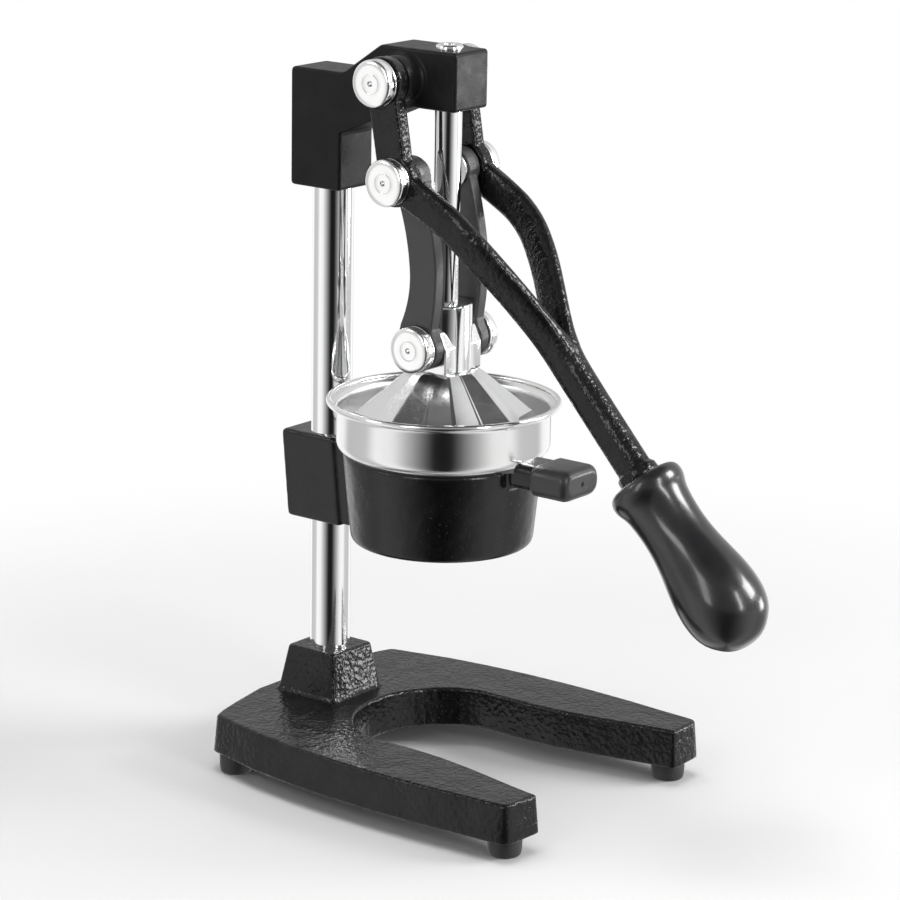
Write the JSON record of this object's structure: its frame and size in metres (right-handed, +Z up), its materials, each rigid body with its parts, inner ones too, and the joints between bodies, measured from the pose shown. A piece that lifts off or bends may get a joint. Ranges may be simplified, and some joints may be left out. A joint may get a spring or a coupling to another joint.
{
  "type": "hand lever citrus press",
  "caption": "Hand lever citrus press: horseshoe base, rear post, cast head, forked lever and bowed links that drive a pleated cone into a stainless bowl on a bracket.",
  "frame": {"origin": "centre of the bounding box footprint, on the floor under the feet", "axes": "+Z up; -Y is the front, towards the lever grip; +X is sideways, square to the plane of the lever"},
  "size_m": [0.1932, 0.3236, 0.414],
  "materials": {
    "black_casting": "black hammered enamel over cast metal",
    "chrome_plate": "polished chrome plate",
    "stainless_sheet": "polished stainless sheet",
    "stainless_cast": "polished stainless casting",
    "zinc_steel": "zinc plated fastener steel",
    "black_rubber": "moulded rubber",
    "grip_plastic": "glossy moulded plastic",
    "knob_plastic": "satin moulded plastic"
  },
  "bodies": {
    "frame": {"base_casting": "black_casting", "rubber_feet": "black_rubber", "foot_screws": "zinc_steel", "main_post": "chrome_plate", "post_base_bolt": "zinc_steel", "post_base_washer": "zinc_steel", "head_casting": "black_casting", "head_set_screw": "zinc_steel", "upper_pivot_bolt_left": "chrome_plate", "upper_pivot_bolt_right": "chrome_plate", "upper_pivot_washers": "zinc_steel", "bowl_bracket": "black_casting", "bracket_set_screw": "zinc_steel", "bracket_knob": "knob_plastic", "bracket_knob_screw": "zinc_steel", "juice_bowl": "stainless_sheet", "strainer_cone": "stainless_sheet"},
    "carriage": {"press_carriage": "stainless_cast", "guide_rod": "chrome_plate", "press_cone": "stainless_cast", "cone_nut": "zinc_steel", "lower_pivot_bolt_left": "chrome_plate", "lower_pivot_bolt_right": "chrome_plate", "lower_pivot_washers": "zinc_steel"},
    "link_left": {"press_link_left": "black_casting", "link_pin_left": "zinc_steel"},
    "link_right": {"press_link_right": "black_casting", "link_pin_right": "zinc_steel"},
    "lever": {"handle_fork": "black_casting", "middle_pivot_bolt_left": "chrome_plate", "middle_pivot_bolt_right": "chrome_plate", "handle_grip": "grip_plastic"}
  },
  "joints": [
    {"name": "lever_lift", "type": "hinge", "parent": "frame", "child": "lever", "pos_m": [0, 0.06903, 0.3951], "axis": [-1, 0, 0], "range_deg": [0, 120]},
    {"name": "press_slide", "type": "slide", "parent": "frame", "child": "carriage", "axis": [0, 0, 1], "range_m": [0, 0.089]},
    {"name": "link_left_swing", "type": "hinge", "parent": "carriage", "child": "link_left", "pos_m": [-0.02, 0.05003, 0.2502], "axis": [-1, 0, 0], "range_deg": [-19.5, 0]},
    {"name": "link_right_swing", "type": "hinge", "parent": "carriage", "child": "link_right", "pos_m": [0.02, 0.05003, 0.2502], "axis": [-1, 0, 0], "range_deg": [-19.5, 0]}
  ],
  "couplings": [
    {"joint": "press_slide", "follows": "lever_lift", "m_per_rad": 0.042487},
    {"joint": "link_left_swing", "follows": "lever_lift", "ratio": -0.16236},
    {"joint": "link_right_swing", "follows": "lever_lift", "ratio": -0.16236}
  ]
}
